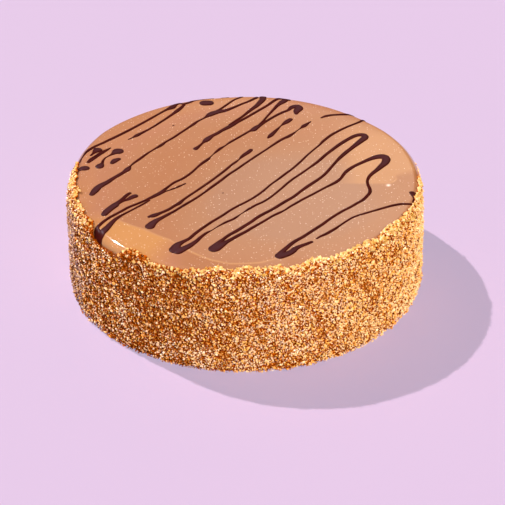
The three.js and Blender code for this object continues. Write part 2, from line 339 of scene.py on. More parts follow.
def carried_value(tree, name):
    """What the points of the mesh carry under a name."""
    carried = tree.nodes.new("ShaderNodeAttribute")
    carried.attribute_name = name
    return carried.outputs["Fac"]


def place_noise(tree, scale, detail=2.0):
    """Soft noise laid over the object's own coordinates."""
    place = tree.nodes.new("ShaderNodeTexCoord").outputs["Object"]
    noise = tree.nodes.new("ShaderNodeTexNoise")
    feed(tree, noise, {"Scale": scale, "Detail": detail, "Vector": place})
    return noise.outputs["Fac"]


def place_cells(tree, scale):
    """Small cells over the object's own coordinates: how far from a middle, and a number for each."""
    place = tree.nodes.new("ShaderNodeTexCoord").outputs["Object"]
    cells = tree.nodes.new("ShaderNodeTexVoronoi")
    feed(tree, cells, {"Scale": scale, "Vector": place})
    number = tree.nodes.new("ShaderNodeSeparateColor")
    feed(tree, number, {"Color": cells.outputs["Color"]})
    return cells.outputs["Distance"], number.outputs["Red"]


def sum_of(tree, operation, *given):
    """What a sum gives for outputs or numbers."""
    node = tree.nodes.new("ShaderNodeMath")
    node.operation = operation
    feed(tree, node, dict(enumerate(given)))
    return node.outputs["Value"]


def share_between(tree, value, start, end, easing="LINEAR"):
    """A value as a share from 0 at the start to 1 at the end."""
    node = tree.nodes.new("ShaderNodeMapRange")
    node.interpolation_type = easing
    feed(tree, node, {"Value": value, "From Min": start, "From Max": end})
    return node.outputs["Result"]


def blend(tree, share, first, second):
    """A colour between two: the first where the share is 0, the second where it is 1."""
    mix = tree.nodes.new("ShaderNodeMix")
    mix.data_type = "RGBA"
    feed(tree, mix, {"Factor": share, "A": first, "B": second})
    return mix.outputs["Result"]


def tone_at(tree, value, stops):
    """The colour at a value, in between (place, colour) stops."""
    ramp = tree.nodes.new("ShaderNodeValToRGB")
    while len(ramp.color_ramp.elements) < len(stops):
        ramp.color_ramp.elements.new(0.5)
    for element, (place, colour) in zip(ramp.color_ramp.elements, stops):
        element.position = place
        element.color = (*colour, 1.0)
    feed(tree, ramp, {"Fac": value})
    return ramp.outputs["Color"]


def glaze_material():
    material, tree, shader = new_material("caramel_glaze")
    drift = place_noise(tree, DRIFT_SCALE)
    thin = sum_of(tree, "MULTIPLY_ADD", drift, DRIFT_SHARE, carried_value(tree, "thinness_and_painted_strip"))
    tone = tone_at(tree, thin, GLAZE_TONES)
    # painted highlights and reflections laid over the tone
    lit = blend(tree, carried_value(tree, "painted_highlight"), tone, GLAZE_HIGHLIGHT_TONE)
    # the tiny bubbles get painted pale glints
    distance, number = place_cells(tree, BUBBLE_SCALE)
    spot = share_between(tree, distance, *BUBBLE_EDGE)
    bubble = sum_of(tree, "MULTIPLY", spot, share_between(tree, number, *BUBBLE_CHOICE))
    # the burst bubble gets the same painted pale glint
    pale = sum_of(tree, "MAXIMUM", bubble, carried_value(tree, "burst"))
    tone = blend(tree, pale, lit, BUBBLE_GLINT)
    feed(tree, shader, {"Base Color": tone, "Roughness": GLAZE_GLOSS, "IOR": 1.5})
    return material


turns = np.arange(GLAZE_SIDES) * 2 * math.pi / GLAZE_SIDES
edge_end = FLAT_RADIUS + EDGE_LENGTH
# the rings lie closer together from just inside the crease on, and closest on the edge
alongs = np.concatenate([
    np.arange(1.0, 78.0, 2.0),
    np.arange(78.0, FLAT_RADIUS, 0.5),
    np.linspace(FLAT_RADIUS, edge_end, 15),
    np.linspace(edge_end + 0.5, edge_end + SKIRT_LENGTH, 5),
])
glaze_rings = [glaze_skin(np.full(GLAZE_SIDES, along), turns, 0.0) for along in alongs]
skirt_foot = glaze_rings[-1][:, 2]
glaze_rings += [
    at_reach(SKIRT_INSIDE, turns, skirt_foot),
    at_reach(SKIRT_INSIDE, turns, SHEET_UNDERSIDE),
    at_reach(SHEET_INSIDE, turns, SHEET_UNDERSIDE),
]
glaze_points, glaze_faces = closed_rings(glaze_rings)
glaze = make_piece("caramel_glaze_top", glaze_points, glaze_faces, glaze_material())
glaze_x, glaze_y = glaze_points[:, 0], glaze_points[:, 1]
shown = np.concatenate([[0.0], np.repeat(alongs, GLAZE_SIDES)])
hidden = np.full(len(glaze_points) - len(shown), edge_end)
glaze_place = (glaze_x, glaze_y, np.concatenate([shown, hidden]), np.arctan2(glaze_y, glaze_x))
carry(glaze, "thinness_and_painted_strip", glaze_thinness_and_strip(*glaze_place))
carry(glaze, "painted_highlight", glaze_painted_highlights(*glaze_place))
carry(glaze, "burst", CRATER_GLINT * in_crater(glaze_x, glaze_y))
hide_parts("caramel_glaze")

# The chocolate drizzle. Melted dark chocolate runs from a spoon that is swung across the cake, so
# it lies in long thin threads that end in drops. It sets on the glaze as low rounded beads, and on
# the crests of the thick drops a paler, greyer painted sheen is laid.
DRIZZLE_STEP = 0.9
DRIZZLE_SPREAD = 0.94
DRIZZLE_RISE = 0.14
DRIZZLE_LOWEST = 0.22
DRIZZLE_HIGHEST = 0.6
DRIZZLE_FULLNESS = 0.55
DRIZZLE_SINK = 0.2
DRIZZLE_UNDERCUT = 0.9
DRIZZLE_FACETS = 9
TIP_START = 0.08
TIP_STEPS = 4
CHOCOLATE_SCALE = 160.0
CHOCOLATE_TONES = ((0.35, (0.026, 0.0022, 0.0012)), (0.7, (0.040, 0.0040, 0.0022)))
CHOCOLATE_GLOSS = ((0.3, (0.34, 0.34, 0.34)), (0.7, (0.46, 0.46, 0.46)))
CHOCOLATE_SHEEN = (0.040, 0.0115, 0.0120)

# The painted sheen comes with the bead's width, lies on its crest, and ends where the glaze goes down
SHEEN_WIDTH = (2.2, 2.6)
SHEEN_CREST = (0.7 / 1.7, 1.0 / 1.7)
SHEEN_LIMIT = (104.0, -3.0)

# Each route is a run of x, y and width, seen from above. The distance from the middle is measured
# along the glaze, so past its flat part a route goes over the edge.
DRIZZLE_ROUTES = (
    # back left, two threads that run up to the far edge
    ((-100.9, 24.7, 2.2), (-97.5, 30.7, 1.5), (-95.8, 34.1, 1.8), (-91.9, 39.6, 1.7), (-87.1, 44.8, 1.7),
     (-79.3, 53.5, 1.7), (-69.8, 63.8, 1.7), (-59.7, 74.4, 1.7), (-49.4, 84.9, 1.9), (-45.4, 88.3, 3.8),
     (-42.7, 91.7, 2.2), (-40.8, 93, 1.8), (-38.5, 92.4, 1.8), (-35.1, 94.2, 2), (-31.5, 97.1, 1.9),
     (-27.6, 98.7, 1.7), (-24.1, 99.8, 1.6), (-19.8, 101.2, 1.5)),
    ((-14.5, 102.3, 1.4), (-10, 102.5, 1.4)),
    ((-73, 49.5, 0.9), (-70.5, 51.5, 1.4), (-68, 54, 3.2), (-65, 57, 2.5), (-60, 62, 2),
     (-53.5, 70, 2), (-50, 74.5, 2.1), (-46, 80, 2.4), (-42.9, 84.3, 2.8), (-40.2, 87.9, 2.4),
     (-38.1, 91.5, 2)),
    ((-25.4, 93.9, 6.2), (-22.3, 94.1, 6.2)),
    # the thread from the left edge to the back
    ((-93, -15, 3.8), (-91.5, -11.5, 5), (-90, -8, 5), (-87.5, -4.5, 4.5), (-84.5, -1.5, 3.8),
     (-81, 3, 3.2), (-77, 7.5, 3), (-74.5, 10.5, 3), (-72.3, 13.7, 4.2), (-70.5, 18, 1.3),
     (-69, 20.5, 1.8), (-65, 26, 2.2), (-60, 33, 1.8), (-57, 36.5, 1.6), (-52, 42, 2.6),
     (-50, 45, 2), (-45, 50.5, 2), (-40, 57, 2), (-35, 63.5, 2), (-32, 67.5, 2.5),
     (-30, 70.5, 2), (-25, 75.5, 1.8), (-22, 79, 4.6), (-20.5, 80.5, 5), (-16, 83, 4.5),
     (-12, 84.5, 3.5), (-7, 88, 2.5), (-2, 92, 2.2), (3, 95.5, 2.2), (8.5, 100.5, 2.5)),
    ((-17, 84.5, 2.2), (-15.5, 86, 2), (-12, 90.5, 1.9), (-9, 94.5, 1.8), (-6, 98, 1.8),
     (-1, 102, 1.8)),
    # the fan of threads at the back
    ((12.5, 100.8, 5), (12.2, 97.5, 4.5), (10.5, 94, 4), (8, 89.5, 3.5), (5, 85.5, 3),
     (2, 81, 2.5), (-1, 76.5, 2.2), (-5, 71.5, 2.2), (-9, 66, 2.4)),
    ((29.5, 96.5, 2), (25.5, 98, 2.1), (22.5, 98.5, 2.6), (19, 95, 2.4), (15.5, 90.5, 2.3),
     (10.5, 85, 2.3), (5.5, 79.5, 2.3), (0.5, 74, 2.4), (-4, 69.5, 2.6), (-7, 66, 3),
     (-10, 63, 3.5), (-14, 59, 3), (-17, 55.5, 3), (-20.5, 52, 3.3), (-24, 47, 4.5),
     (-26, 44, 2.1), (-28, 40.5, 2.2), (-30.5, 36.8, 3.5)),
    ((27.5, 96, 3), (25.5, 94.5, 4.5), (22.5, 91, 3.2), (20, 86.5, 2.5), (17.5, 81.5, 2),
     (15, 76.5, 1.8), (12.5, 71, 1.8), (9.5, 65, 2.2)),
    # the long thread that comes down to the bare spot at the front left
    ((33.5, 79, 2.8), (34, 82, 5), (35.5, 85.6, 6), (34.5, 87.8, 5), (31, 87, 4), (28.5, 83.5, 2.6),
     (25, 81, 2.5), (20, 76.5, 2.3), (15, 71, 2.3), (11, 66, 2.5), (8, 62.5, 4), (5.5, 59, 4),
     (3.8, 58, 2.2), (0.5, 54.5, 2), (-4, 49.5, 2), (-9, 44, 2), (-12, 40, 1.3), (-15, 36.5, 2.4),
     (-18, 32, 1.8), (-19.5, 29.5, 0.9), (-21.5, 26, 1.2), (-22.5, 24, 2.3), (-26, 19.5, 2.4),
     (-29, 15, 1.9), (-31.5, 10.5, 1.9), (-34.5, 6, 2.1), (-38.5, 1.2, 2.2), (-43, -2.5, 2.2),
     (-46, -6.3, 2), (-49, -10.7, 2.5), (-51, -14, 3.3), (-55, -18, 3.1), (-60, -22.5, 2.3),
     (-65, -26.6, 2.2), (-70, -30.3, 2.3), (-75, -35.5, 2.3), (-80, -40.5, 2.3), (-84, -45, 2.4),
     (-87.3, -50, 2.6), (-89.2, -54, 3.4), (-89.3, -56.5, 3.2)),
    ((-58, -23, 1.4), (-62, -27.5, 1.8), (-66, -31.5, 1.7), (-70, -35.5, 1.8), (-74.5, -40, 2.2),
     (-78, -44.5, 3), (-80.5, -49, 3.8), (-82.5, -53, 4.5), (-84.8, -56.5, 5.4),
     (-86.5, -59, 5.6), (-87.8, -61, 4.4)),
    ((-88.2, -54.5, 4), (-88.8, -57.5, 7), (-88.8, -60.5, 7.6), (-89.8, -63, 6)),
    ((-36.5, -4.2, 1.3), (-38.5, -6, 1.6), (-40, -7, 2), (-42.5, -9.3, 1.5), (-44, -10, 1.8),
     (-46, -11.5, 1.2), (-48, -12.5, 1.4), (-50.5, -14.8, 1.6)),
    ((-84.5, -38, 4.4), (-83.5, -35.5, 5), (-81, -31.5, 5), (-78.5, -28, 5), (-76.5, -24.5, 3.2),
     (-74, -20.5, 2.8), (-71.5, -16, 2.8), (-70, -14.2, 2.2)),
    ((-77.5, -27.5, 1.6), (-75.5, -25.5, 1.5), (-73.5, -23, 2.2), (-71, -21.5, 3),
     (-68.5, -19, 4), (-66.8, -17.8, 4.2)),
    # the two close threads left of the middle
    ((-57.5, -41.7, 2.5), (-55, -40.5, 4), (-51.5, -38, 2.8), (-46, -33.5, 2.5), (-42.5, -29.5, 2.5),
     (-40, -27, 3), (-37.5, -23, 2.2), (-34.5, -19, 2), (-30, -13.5, 2), (-26, -8.5, 2.1),
     (-22, -3.5, 2.1), (-17.5, 2.5, 2), (-12.5, 9.5, 2.1), (-8, 16.5, 2), (-5, 20.5, 1.9),
     (-3.3, 23, 1.2), (-2, 25.5, 2.4), (0, 28.5, 3.1), (2.5, 31.5, 3.3), (4, 34, 3)),
    ((42.5, 68.5, 0.9), (40, 65.5, 2.5), (38, 63, 3.4), (35.5, 60, 1.1), (33.5, 57.5, 0.9),
     (31, 54, 2), (28, 50.5, 2.8), (24.5, 47.5, 2.4), (20, 42.5, 2.2), (14.5, 35.5, 1.7),
     (10, 30, 1.8), (5, 23.8, 1.9), (0, 17.5, 1.9), (-5, 11, 2), (-10, 5, 2), (-15, -2, 2.2),
     (-20, -8.5, 2.2), (-25, -15.3, 1.9), (-30, -21.5, 2), (-35, -27, 2.2), (-39.5, -32, 2.1),
     (-42.5, -35.5, 2.2), (-46, -39, 2.6), (-50, -43, 3), (-53.5, -46.5, 4.2), (-55.5, -49.5, 5.4),
     (-56.8, -52.3, 6.6)),
    ((15, 49, 1.6), (16.5, 51.5, 3.4), (18.5, 55, 3), (21, 59.5, 2.2), (23.5, 64, 1.1),
     (25, 66, 2.5), (27.5, 69, 4), (29.5, 71.5, 3.5)),
    ((49.5, 73, 1.5), (52, 74.7, 2.5), (56, 76, 2.3), (60.5, 76.5, 2.3), (65, 76.7, 2.4),
     (70, 76.4, 2)),
    # the loop right of the middle, and the thread beside it
    ((76.2, 69.9, 2.4), (72.7, 66.3, 2), (66, 61.5, 2), (59, 55.5, 2.2), (55, 51.5, 2.3),
     (52, 47.5, 2.2), (49, 43, 2.2), (47.5, 40, 1.7), (43.5, 34, 1.5), (39, 27, 1.6),
     (34.5, 19, 1.8), (29.5, 11, 1.8), (25, 5, 2), (21, -0.5, 1.9), (16, -7, 1.6),
     (10, -16, 1.9), (5, -22, 1.9), (0, -27, 1.9), (-4, -30.5, 2), (-9, -35.5, 2),
     (-14, -41.5, 2.1), (-20, -48, 2.2), (-26, -55.5, 2.3), (-30, -61, 2.5), (-33.5, -66.5, 2.6),
     (-37, -69.8, 3.2), (-40.3, -73.5, 5.2), (-41.3, -77.5, 8.4)),
    ((-39.5, -79.5, 6.5), (-36, -77, 5), (-32.5, -73.5, 4), (-29, -69, 3), (-26, -64, 2.4),
     (-22.5, -59.5, 1.9), (-20, -57.3, 0.9), (-18, -55, 0.9), (-16, -52.8, 1.3), (-12, -49, 2),
     (-7.5, -45.5, 2), (-5, -42.7, 1.7), (-3, -40.2, 0.8), (-1.5, -38.5, 0.9), (2, -34.5, 2),
     (6, -30.5, 2), (11, -26.5, 1.9), (15.5, -21.5, 1.8), (22.5, -11.5, 1.8), (26, -6, 1.9),
     (30, -0.5, 1.9), (35, 5.5, 1.9), (39.5, 11.3, 1.8), (42, 14.5, 2.2), (46, 20, 2.4),
     (50, 26.5, 2.4), (55, 33.5, 2.6), (60, 40, 2.9), (66, 46.5, 3.1), (69.5, 49.5, 3.5),
     (73, 50.9, 3.8), (75.6, 50, 4.6), (76, 47.6, 5), (74, 44.5, 4.6), (71, 40.5, 4),
     (67, 35, 3.2), (63, 29.5, 3.2), (59.5, 24, 2.8), (56.5, 18.5, 2.2), (53, 11.5, 2.2),
     (50, 5.5, 2.3), (46.5, 0, 2.3), (42, -5.5, 2.6), (37, -11.5, 2.6), (33.5, -16, 2.3),
     (29, -22, 2.4), (24, -27, 2.6), (16, -35.5, 2.5), (11, -40, 2.6), (7, -44, 2.6),
     (3.5, -48.5, 2.5), (-1, -53.5, 2.7), (-5.5, -58.5, 2.8), (-10, -63, 2.6), (-13, -67, 2.6),
     (-16, -71.5, 4), (-18.6, -77.3, 7.6)),
    # the second loop, at the right
    ((-17.5, -77.5, 6), (-14.5, -74, 4.8), (-12, -71, 3.6), (-8, -67, 2.9), (-4, -63, 2.8),
     (0, -59.3, 2.5), (4, -55, 2.4), (8, -51, 2.2), (12, -47, 2), (16, -42.8, 2), (20, -39.5, 2.2),
     (23.5, -36.5, 1.6), (27, -32.5, 1.9), (30, -29.5, 2), (35, -24.5, 2), (40, -20, 2),
     (45, -15.3, 1.9), (49, -11.5, 2), (53, -8, 2.4), (56.5, -4.5, 2.6), (59, -0.5, 2.2),
     (60.5, 3, 2.4), (62.5, 7, 2.8), (66, 11.5, 2.8), (70, 15.3, 2.8), (74, 18.5, 3),
     (78, 21.5, 3.6), (82, 23.7, 4.8), (85.8, 24.1, 5.8), (87.8, 21.7, 5.8), (87, 17, 5.4),
     (84.5, 13, 4.4), (81.5, 8.5, 3.4), (78.5, 4.5, 3), (76, 0, 2.4), (74.8, -5, 2), (75, -9, 2.1),
     (75.8, -14, 2.4), (75.6, -18, 2.4), (73.5, -22.5, 2.4), (71, -26.5, 2.4), (67.5, -30, 2.3),
     (63, -34.5, 2.2), (58.5, -38.5, 2.2), (54, -43, 2.2), (50, -47.5, 2.2), (46, -52.5, 2.4),
     (41.5, -57.5, 2.5), (37, -62.5, 2.5), (33, -66.8, 2.6), (29.5, -70, 2.8), (26.5, -73.5, 3),
     (23.5, -78, 3.2), (21, -82, 4), (19.8, -85.8, 6.8)),
    ((20.5, -86, 6), (24, -84.2, 5.3), (27, -81.5, 4.6), (29, -78.5, 4), (32, -76, 3.2),
     (36, -73.5, 2.8), (38.5, -71.8, 2.4)),
    ((41.8, -68.2, 1.4), (44, -66, 2), (47, -63.8, 2.4), (50, -61, 2.4), (53, -58, 2.2),
     (56, -54.5, 1.7), (60, -50, 1.7), (64, -46, 1.7), (68, -43.5, 1.8), (72, -41.5, 1.9),
     (77, -39, 1.9), (82, -36.5, 2.2), (86, -34.5, 2.2), (89.7, -32.7, 2.2), (92.9, -31.4, 2.3),
     (95.3, -31.2, 2.2), (97.1, -30.9, 2), (98.5, -30.7, 1.6)),
    ((99.2, -18.6, 3.2), (100.2, -20.8, 4.2), (101, -22.8, 5), (100.8, -24.8, 4), (99.7, -27, 2.6),
     (99.3, -29.5, 2.4), (98.8, -31.3, 1.8)),
    # the drops at the left edge
    ((-90.2, 36.9, 4.4), (-91.0, 35.6, 3.8), (-92.6, 32.6, 1.6), (-94.0, 30.2, 1.3)),
    ((-84, 39.5, 1.2), (-86.5, 36.5, 2.2), (-89.3, 32.9, 2.4), (-91.8, 29, 2.4),
     (-93.9, 25.8, 2.8), (-96.1, 22.4, 2.2)),
    ((-98.3, 15.4, 5.5), (-100.5, 15.2, 5), (-104, 15.1, 2.8), (-105.8, 16.1, 2)),
    ((-78.9, 35.2, 7), (-79.8, 35, 7), (-82.5, 32, 2.6), (-85, 29.5, 1.3), (-87, 27, 1.4),
     (-88, 24, 1.8), (-88.4, 21.2, 2.4), (-89.2, 18.6, 5.2), (-89.8, 17.6, 5.6)),
    ((-82, 21.8, 3.5), (-80.5, 24.2, 4.6), (-78.3, 25.8, 3.2)),
    # two specks
    ((-45.3, 66, 0.9), (-44.7, 66, 0.9)),
    ((-13.7, -16, 0.7), (-13.3, -16, 0.7)),
)


def between(t, t0, t1, first, second):
    """Straight from the first at t0 to the second at t1."""
    return (t1 - t) / (t1 - t0) * first + (t - t0) / (t1 - t0) * second


def smooth_route(route):
    """The route as closely spaced stations on a curve through its points."""
    given = np.array(route, float)
    given = np.concatenate([2 * given[:1] - given[1:2], given, 2 * given[-1:] - given[-2:-1]])
    spans = np.linalg.norm(np.diff(given[:, :2], axis=0), axis=1)
    knots = np.concatenate([[0.0], np.cumsum(spans ** 0.5)])
    stations = []
    for i in range(1, len(given) - 2):
        t0, t1, t2, t3 = knots[i - 1:i + 3]
        p0, p1, p2, p3 = given[i - 1:i + 3]
        steps = max(int(np.linalg.norm(p2[:2] - p1[:2]) / DRIZZLE_STEP), 2)
        t = np.linspace(t1, t2, steps, endpoint=False)[:, None]
        a1 = between(t, t0, t1, p0, p1)
        a2 = between(t, t1, t2, p1, p2)
        a3 = between(t, t2, t3, p2, p3)
        b1 = between(t, t0, t2, a1, a2)
        b2 = between(t, t1, t3, a2, a3)
        stations.append(between(t, t1, t2, b1, b2))
    return np.concatenate([*stations, given[-2:-1]])


def rounded_ends(stations):
    """The same stations with a round tip added at each end, and a width factor from 0 to 1."""
    swing = np.linspace(TIP_START, 1.0, TIP_STEPS + 1)[:-1] * math.pi / 2
    tips = []
    for first, second in ((stations[0], stations[1]), (stations[-1], stations[-2])):
        outward = (first[:2] - second[:2]) / np.linalg.norm(first[:2] - second[:2])
        tip = np.tile(first, (TIP_STEPS, 1))
        tip[:, :2] += outward * (first[2] / 2 * np.cos(swing))[:, None]
        tips.append(tip)
    whole = np.concatenate([tips[0], stations, tips[1][::-1]])
    return whole, np.concatenate([np.sin(swing), np.ones(len(stations)), np.sin(swing)[::-1]])


def bead(route):
    """Points and faces of one low rounded bead of chocolate along a route, and its painted sheen at each
    point.
    """
    stations, factor = rounded_ends(smooth_route(route))
    x, y, width = stations.T
    heading = np.gradient(stations[:, :2], axis=0)
    heading /= np.linalg.norm(heading, axis=1)[:, None]
    half = width / 2 * factor * DRIZZLE_SPREAD
    rise = np.clip(width * DRIZZLE_RISE, DRIZZLE_LOWEST, DRIZZLE_HIGHEST) * factor
    sweep = np.linspace(0.0, math.pi, DRIZZLE_FACETS)
    rings = []
    for i in range(len(stations)):
        offset = half[i] * np.cos(sweep)
        offset = np.concatenate([offset, offset[::-1][[0, -1]] * DRIZZLE_UNDERCUT])
        lift = rise[i] * np.sin(sweep) ** DRIZZLE_FULLNESS
        lift = np.concatenate([lift, [-DRIZZLE_SINK, -DRIZZLE_SINK]])
        ring_x = x[i] - heading[i, 1] * offset
        ring_y = y[i] + heading[i, 0] * offset
        rings.append(glaze_skin(np.hypot(ring_x, ring_y), np.arctan2(ring_y, ring_x), lift))
    points, faces = closed_rings(rings)
    thick = fade_in(width, *SHEEN_WIDTH) * factor * fade_in(np.hypot(x, y), *SHEEN_LIMIT)
    crest = np.concatenate([fade_in(np.sin(sweep), *SHEEN_CREST), [0.0, 0.0]])
    return points, faces, np.concatenate([[0.0], np.outer(thick, crest).ravel(), [0.0]])


def joined(parts):
    """Several (points, faces, values) as one."""
    points, faces, start = [], [], 0
    for part_points, part_faces, _ in parts:
        points.append(part_points)
        faces += [[corner + start for corner in face] for face in part_faces]
        start += len(part_points)
    return np.concatenate(points), faces, np.concatenate([value for _, _, value in parts])


def chocolate_material():
    material, tree, shader = new_material("dark_chocolate")
    noise = place_noise(tree, CHOCOLATE_SCALE, 3.0)
    tone = tone_at(tree, noise, CHOCOLATE_TONES)
    # the crests of the thick drops get a painted sheen
    feed(tree, shader, {
        "Base Color": blend(tree, carried_value(tree, "painted_sheen"), tone, CHOCOLATE_SHEEN),
        "Roughness": tone_at(tree, noise, CHOCOLATE_GLOSS),
        "Specular IOR Level": 0.05,
    })
    return material


drizzle_points, drizzle_faces, drizzle_sheen = joined([bead(route) for route in DRIZZLE_ROUTES])
drizzle = make_piece("chocolate_drizzle", drizzle_points, drizzle_faces, chocolate_material())
carry(drizzle, "painted_sheen", drizzle_sheen)

# The cake with its bed of caramel cream. The layers are stacked, spread round with cream and
# rolled in crumbs, so under the crumbs lies a brown, uneven bed that also holds the fine dust.
# The dust's gaps are darkened as painted shade. At the front it goes up over the glaze's edge, and
# behind and at the bare spot it ends below it.
COAT_RADIUS = 109.0
WALL_TOP = 62.2
SHOULDER = 5.6
RIM_SLOPE = 0.16
BED_DEPTH = 1.7
BED_SIDES = 720
BED_ROWS = 72
BED_BELOW_LINE = 2.2
BED_TOP_LEAST = 57.5
BED_FADE = 3.0
BED_LEAST = 0.3
BED_ON_GLAZE = 0.06
BED_EDGE_ROWS = 10
FOOT_INSIDE = 40.0
NECK_RADIUS = 103.2
NECK_FOOT = 58.4
NECK_TOP = 62.7
NECK_INSIDE = 60.0
BED_TONES = (
    (0.10, (0.26, 0.026, 0.0005)),
    (0.45, (0.48, 0.076, 0.001)),
    (0.80, (0.70, 0.180, 0.007)),
    (1.00, (0.90, 0.380, 0.090)),
)
BED_GAP_SHADE = (0.19, 0.016, 0.0003)
DUST_SCALE = 1100.0
DUST_SHADE_GAPS = (0.42, 0.72)
DUST_HEIGHT = 0.0006

# Near its top the wall leans in a little, and less where the glaze's edge stands out further than
# the last of these
COAT_LEAN = 1.1
LEAN_START = 46.0
LEAN_BULGE = 2.7

# How far up the crumbs go at some turns, in degrees, measured up the side and over the edge
CRUMB_LINE = (
    (-180, 69.0), (-177, 70.5), (-173, 71.8), (-169, 68.4), (-165, 70.5), (-162, 71.8),
    (-159, 69.5), (-155, 70.5), (-152.5, 71.2), (-150, 68.5), (-148, 63.4), (-142, 63.0),
    (-135, 63.2), (-133, 66.0), (-131.5, 70.5), (-129, 72.0), (-124, 69.8), (-119, 67.8),
    (-109, 68.0), (-105, 70.5), (-102, 73.6), (-99, 76.0), (-96.5, 70.6), (-94, 71.6),
    (-91, 76.0), (-84, 73.6), (-79, 74.6), (-77, 71.0), (-71, 73.0), (-66, 75.6), (-62, 71.2),
    (-54, 71.0), (-47, 72.4), (-42, 68.8), (-34, 71.4), (-28, 70.0), (-20, 67.6), (-10, 67.4),
    (0, 66.2), (8, 64.6), (14, 62.8), (20, 61.2), (28, 60.0), (148, 60.0), (160, 62.4),
    (168, 66.0), (173, 68.5), (176, 69.6), (180, 69.0),
)

# How thin the crumbs lie at some turns. Below 0 they lie thicker than in most places. Where they
# lie thin the crumbs are also painted darker, as shade.
THINLY_AND_SHADED = ((-180, 0.3), (-165, 0.8), (-150, 2.0), (-115, 1.45), (-97, 0.5), (-80, 0.0), (-60, -0.2),
          (60, -0.1), (130, 0.2), (180, 0.2))

# Random hills, each as a height, a size and a seed: clumps of crumbs, the bed's own roughness, and
# the ragged line that the crumbs end on
FELT_TOP = 90.0
CLUMP_HILLS = ((0.55, 1.7, 8), (0.55, 2.9, 1), (0.34, 7.0, 2), (0.25, 16.0, 3))
BED_HILLS = ((0.25, 1.2, 4),)
LINE_HILLS = ((0.9, 3.5, 5), (0.6, 9.0, 6))


def felt(turn, rise, cell, seed):
    """Smooth random hills from -1 to 1, of about one cell's size in mm, that meet round the cake."""
    columns = int(2 * math.pi * COAT_RADIUS / cell)
    rows = int(FELT_TOP / cell) + 3
    grid = np.random.default_rng(seed).uniform(-1.0, 1.0, (rows, columns))
    across = (turn / (2 * math.pi)) % 1.0 * columns
    up = np.clip(rise, 0.0, FELT_TOP) / cell
    column, row = np.floor(across).astype(int), np.floor(up).astype(int)
    a, b = across - column, up - row
    a, b = a * a * (3 - 2 * a), b * b * (3 - 2 * b)
    low = grid[row, column % columns] * (1 - a) + grid[row, (column + 1) % columns] * a
    high = grid[row + 1, column % columns] * (1 - a) + grid[row + 1, (column + 1) % columns] * a
    return low * (1 - b) + high * b


def hills(turn, rise, layers):
    """Several layers of random hills on top of each other."""
    return sum(height * felt(turn, rise, cell, seed) for height, cell, seed in layers)


def crumb_line(turn):
    """How far up the crumbs reach, with its ragged edge."""
    return read_off(CRUMB_LINE, in_degrees(turn)) + hills(turn, np.zeros_like(turn), LINE_HILLS)


def thinly_and_shaded(turn):
    """How thin the crumbs lie, which is most at the front left, where they are also painted darker as
    shade.
    """
    return read_off(THINLY_AND_SHADED, in_degrees(turn))


def coat_skin(turn, rise, lift):
    """A point of the coat: rise is measured up the side and then over the glaze's edge."""
    bend = np.clip((rise - WALL_TOP) / SHOULDER, 0.0, math.pi / 2)
    past = np.maximum(rise - WALL_TOP - SHOULDER * math.pi / 2, 0.0)
    wall = np.minimum(rise, WALL_TOP)
    lean = fade_in(wall, LEAN_START, WALL_TOP - LEAN_START)
    bulge = np.clip(read_off(BULGE, in_degrees(turn)) - LEAN_BULGE, 0.0, COAT_LEAN) * lean
    side = COAT_RADIUS - COAT_LEAN * lean * lean * (3 - 2 * lean)
    reach = side - SHOULDER * (1 - np.cos(bend)) - past + lift * np.cos(bend) + bulge
    height = wall + SHOULDER * np.sin(bend) - RIM_SLOPE * past + lift * np.sin(bend)
    return at_reach(reach, turn, height)


def glaze_along(rise):
    """The distance along the glaze that lies under a given rise of the coat."""
    over = SHOULDER * math.pi / 2
    past = np.maximum(rise - WALL_TOP - over, 0.0)
    below = np.maximum(WALL_TOP - rise, 0.0)
    return FLAT_RADIUS + EDGE_LENGTH * (1 - fade_in(rise, WALL_TOP, over)) - past + below


def bed_material():
    material, tree, shader = new_material("caramel_crumb_bed")
    distance, number = place_cells(tree, DUST_SCALE)
    gap_shade = share_between(tree, distance, *DUST_SHADE_GAPS)
    bump = tree.nodes.new("ShaderNodeBump")
    bump.invert = True
    feed(tree, bump, {"Strength": 0.9, "Distance": DUST_HEIGHT, "Height": distance})
    # the gaps between the dust grains are darkened as painted shade
    feed(tree, shader, {
        "Base Color": blend(tree, gap_shade, tone_at(tree, number, BED_TONES), BED_GAP_SHADE),
        "Normal": bump.outputs["Normal"],
        "Roughness": 0.8,
        "Specular IOR Level": 0.0,
    })
    return material


bed_turns = np.arange(BED_SIDES) * 2 * math.pi / BED_SIDES
bed_top = np.maximum(crumb_line(bed_turns) - BED_BELOW_LINE, BED_TOP_LEAST)
bed_rings = [at_reach(FOOT_INSIDE, bed_turns, 0.0)]
for share in np.linspace(0.0, 1.0, BED_ROWS):
    rise = bed_top * share
    sunk = hills(bed_turns, rise, CLUMP_HILLS + BED_HILLS) - BED_DEPTH
    sunk = sunk * np.clip((bed_top - rise) / BED_FADE, BED_LEAST, 1.0)
    bed_rings.append(coat_skin(bed_turns, rise, sunk))
bed_edge = glaze_along(bed_top)
for share in np.linspace(0.0, 1.0, BED_EDGE_ROWS):
    along = bed_edge + (FLAT_RADIUS + EDGE_LENGTH + SKIRT_LENGTH - bed_edge) * share
    bed_rings.append(glaze_skin(along, bed_turns, BED_ON_GLAZE))
bed_rings += [
    at_reach(NECK_RADIUS, bed_turns, NECK_FOOT),
    at_reach(NECK_RADIUS, bed_turns, NECK_TOP),
    at_reach(NECK_INSIDE, bed_turns, NECK_TOP),
]
bed_points, bed_faces = closed_rings(bed_rings[::-1])
bed = make_piece("cake_and_crumb_bed", bed_points, bed_faces, bed_material())
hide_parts("cake")

